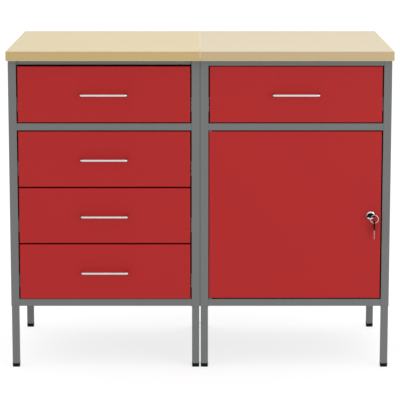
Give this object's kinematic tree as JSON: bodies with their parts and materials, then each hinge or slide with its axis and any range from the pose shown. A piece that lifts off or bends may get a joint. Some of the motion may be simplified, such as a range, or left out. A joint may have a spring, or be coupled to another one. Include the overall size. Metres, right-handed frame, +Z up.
{
  "type": "workbench with drawers",
  "caption": "Steel workshop bench of paired frame units with beech tops, sliding drawers with bow handles and a lockable cupboard door.",
  "frame": {"origin": "on the floor, under the middle of the bench's bounding box", "axes": "+X along the bench to the right as seen from the drawers, +Y from the drawers to the back, +Z up"},
  "size_m": [1, 0.603, 0.84],
  "materials": {
    "grey_paint": "satin powder coat",
    "red_paint": "satin powder coat",
    "beech_left": "matt lacquer",
    "beech_right": "matt lacquer",
    "black_plastic": "matt",
    "satin_steel": "satin",
    "zinc_steel": "zinc plated",
    "bright_chrome": "polished",
    "black_plated": "black plating",
    "nickel_steel": "nickel plated"
  },
  "bodies": {
    "root": {"left_legs": "grey_paint", "left_rails": "grey_paint", "left_post_covers": "grey_paint", "left_side_panels": "grey_paint", "left_back_panel": "grey_paint", "left_base": "grey_paint", "left_worktop": "beech_left", "right_legs": "grey_paint", "right_rails": "grey_paint", "right_post_covers": "grey_paint", "right_side_panels": "grey_paint", "right_back_panel": "grey_paint", "right_base": "grey_paint", "right_worktop": "beech_right", "feet": "black_plastic", "uprights": "grey_paint", "cabinet_slides": "zinc_steel", "divider": "grey_paint", "shelf": "grey_paint", "shelf_clips": "zinc_steel", "hinge_pins": "grey_paint", "worktop_screws": "zinc_steel", "joining_bolts": "zinc_steel"},
    "drawer_1": {"drawer_1_front": "red_paint", "drawer_1_box": "grey_paint", "drawer_1_slides": "zinc_steel", "drawer_1_handle": "satin_steel", "drawer_1_screws": "zinc_steel"},
    "drawer_2": {"drawer_2_front": "red_paint", "drawer_2_box": "grey_paint", "drawer_2_slides": "zinc_steel", "drawer_2_handle": "satin_steel", "drawer_2_screws": "zinc_steel"},
    "drawer_3": {"drawer_3_front": "red_paint", "drawer_3_box": "grey_paint", "drawer_3_slides": "zinc_steel", "drawer_3_handle": "satin_steel", "drawer_3_screws": "zinc_steel"},
    "drawer_4": {"drawer_4_front": "red_paint", "drawer_4_box": "grey_paint", "drawer_4_slides": "zinc_steel", "drawer_4_handle": "satin_steel", "drawer_4_screws": "zinc_steel"},
    "drawer_5": {"drawer_5_front": "red_paint", "drawer_5_box": "grey_paint", "drawer_5_slides": "zinc_steel", "drawer_5_handle": "satin_steel", "drawer_5_screws": "zinc_steel"},
    "door": {"door_skin": "red_paint", "door_tray": "grey_paint", "lock_housing": "bright_chrome", "lock_nut": "zinc_steel"},
    "lock": {"lock_plug": "black_plated", "lock_cam": "zinc_steel", "cam_screw": "zinc_steel", "key_bow": "black_plastic", "key_blade": "nickel_steel"},
    "key_ring": {"key_ring": "nickel_steel"},
    "spare_key": {"spare_key_bow": "black_plastic", "spare_key_blade": "nickel_steel"}
  },
  "joints": [
    {"name": "drawer_1_slide", "type": "slide", "parent": "root", "child": "drawer_1", "axis": [0, -1, 0], "range_m": [0, 0.33]},
    {"name": "drawer_2_slide", "type": "slide", "parent": "root", "child": "drawer_2", "axis": [0, -1, 0], "range_m": [0, 0.33]},
    {"name": "drawer_3_slide", "type": "slide", "parent": "root", "child": "drawer_3", "axis": [0, -1, 0], "range_m": [0, 0.33]},
    {"name": "drawer_4_slide", "type": "slide", "parent": "root", "child": "drawer_4", "axis": [0, -1, 0], "range_m": [0, 0.33]},
    {"name": "drawer_5_slide", "type": "slide", "parent": "root", "child": "drawer_5", "axis": [0, -1, 0], "range_m": [0, 0.33]},
    {"name": "door_hinge", "type": "hinge", "parent": "root", "child": "door", "pos_m": [0.0268, -0.2695, 0.408], "axis": [0, 0, -1], "range_deg": [0, 95]},
    {"name": "lock_turn", "type": "hinge", "parent": "door", "child": "lock", "pos_m": [0.44575, -0.2735, 0.408], "axis": [0, 1, 0], "range_deg": [0, 90]},
    {"name": "ring_swing", "type": "hinge", "parent": "lock", "child": "key_ring", "pos_m": [0.45485, -0.29, 0.408], "axis": [0, 1, 0], "range_deg": [-91, 1]},
    {"name": "spare_key_swing", "type": "hinge", "parent": "key_ring", "child": "spare_key", "pos_m": [0.45485, -0.29, 0.39039], "axis": [-1, 0, 0], "range_deg": [-5, 60]}
  ],
  "couplings": [
    {"joint": "ring_swing", "follows": "lock_turn", "ratio": -1}
  ]
}
